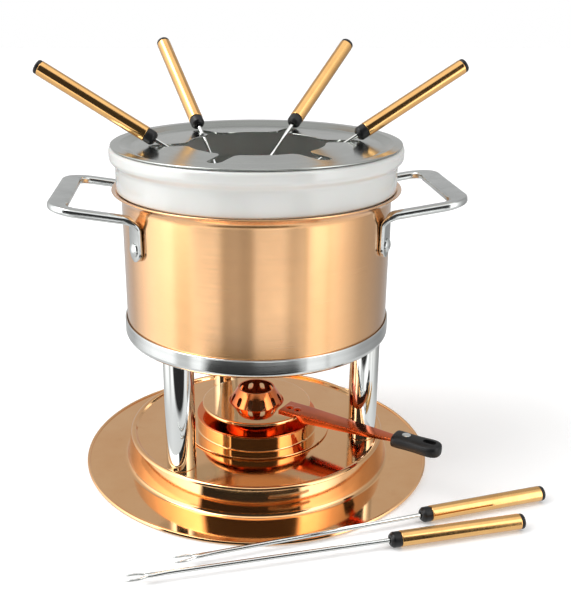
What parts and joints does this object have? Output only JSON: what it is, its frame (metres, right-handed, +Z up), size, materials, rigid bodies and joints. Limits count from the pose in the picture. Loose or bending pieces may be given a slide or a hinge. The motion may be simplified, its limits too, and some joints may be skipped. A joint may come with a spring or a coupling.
{
  "type": "fondue pot set",
  "caption": "Table fondue set: copper-clad pot with a ceramic crock and a fork guard, on a three-legged stand over a spirit burner on a round tray, with forks.",
  "frame": {"origin": "on the pot's axis, in the plane of the tray's underside, which rests on the table", "axes": "+Z up; -Y is the front, where the two loose forks lie; +X towards the right pot handle"},
  "size_m": [0.3186, 0.2733, 0.2716],
  "materials": {
    "copper_tray": "mirror-polished copper plate",
    "copper_burner": "polished copper plate",
    "copper_pot": "fine-brushed, lacquered copper",
    "polished_steel": "polished",
    "guard_steel": "polished stainless sheet",
    "cast_steel": "cast stainless, polished",
    "brushed_steel": "brushed",
    "steel_gauze": "woven wire gauze",
    "fuel_pad": "mineral-fibre felt",
    "black_plastic": "moulded, satin",
    "white_glaze": "glossy white glaze",
    "gold_tube": "polished gold-coloured plate"
  },
  "bodies": {
    "stand": {"tray": "copper_tray", "leg_left": "polished_steel", "leg_right": "polished_steel", "leg_back": "polished_steel", "leg_screws": "polished_steel", "stand_ring": "polished_steel"},
    "burner": {"burner_cup": "copper_burner", "burner_cover": "copper_burner", "burner_gauze": "steel_gauze", "fuel_pad": "fuel_pad"},
    "regulator": {"regulator_disc": "copper_burner", "regulator_strap": "copper_burner", "strap_rivets": "copper_burner", "regulator_grip": "black_plastic", "grip_rivet": "polished_steel"},
    "pot": {"pot_shell": "copper_pot", "pot_liner": "brushed_steel", "pot_handle_left": "cast_steel", "pot_handle_right": "cast_steel", "pot_rivets_left": "cast_steel", "pot_rivets_right": "cast_steel"},
    "crock": {"crock": "white_glaze"},
    "guard": {"fork_guard": "guard_steel"},
    "fork_1": {"fork_1_shaft": "polished_steel", "fork_1_ferrule": "black_plastic", "fork_1_handle": "gold_tube", "fork_1_cap": "black_plastic"},
    "fork_2": {"fork_2_shaft": "polished_steel", "fork_2_ferrule": "black_plastic", "fork_2_handle": "gold_tube", "fork_2_cap": "black_plastic"},
    "fork_3": {"fork_3_shaft": "polished_steel", "fork_3_ferrule": "black_plastic", "fork_3_handle": "gold_tube", "fork_3_cap": "black_plastic"},
    "fork_4": {"fork_4_shaft": "polished_steel", "fork_4_ferrule": "black_plastic", "fork_4_handle": "gold_tube", "fork_4_cap": "black_plastic"},
    "fork_5": {"fork_5_shaft": "polished_steel", "fork_5_ferrule": "black_plastic", "fork_5_handle": "gold_tube", "fork_5_cap": "black_plastic"},
    "fork_6": {"fork_6_shaft": "polished_steel", "fork_6_ferrule": "black_plastic", "fork_6_handle": "gold_tube", "fork_6_cap": "black_plastic"}
  },
  "joints": [
    {"name": "burner_draw", "type": "slide", "parent": "stand", "child": "burner", "axis": [0.3238, -0.9403, 0.1045], "range_m": [0, 0.19]},
    {"name": "regulator_turn", "type": "hinge", "parent": "burner", "child": "regulator", "pos_m": [0, 0, 0.036], "axis": [0, 0, 1], "range_deg": [-40, 0]},
    {"name": "pot_lift", "type": "slide", "parent": "stand", "child": "pot", "axis": [0, 0, 1], "range_m": [0, 0.12]},
    {"name": "crock_lift", "type": "slide", "parent": "pot", "child": "crock", "axis": [0, 0, 1], "range_m": [0, 0.12]},
    {"name": "guard_lift", "type": "slide", "parent": "crock", "child": "guard", "axis": [0, 0, 1], "range_m": [0, 0.11]},
    {"name": "fork_1_draw", "type": "slide", "parent": "guard", "child": "fork_1", "axis": [-0.851, 0.1348, 0.5075], "range_m": [0, 0.165]},
    {"name": "fork_2_draw", "type": "slide", "parent": "guard", "child": "fork_2", "axis": [-0.3375, 0.7238, 0.6018], "range_m": [0, 0.165]},
    {"name": "fork_3_draw", "type": "slide", "parent": "guard", "child": "fork_3", "axis": [0.4869, 0.6461, 0.5878], "range_m": [0, 0.165]},
    {"name": "fork_4_draw", "type": "slide", "parent": "guard", "child": "fork_4", "axis": [0.827, 0.2847, 0.4848], "range_m": [0, 0.165]},
    {"name": "fork_5_lift", "type": "slide", "parent": "stand", "child": "fork_5", "axis": [0, 0, 1], "range_m": [0, 0.1]},
    {"name": "fork_6_lift", "type": "slide", "parent": "stand", "child": "fork_6", "axis": [0, 0, 1], "range_m": [0, 0.1]}
  ]
}
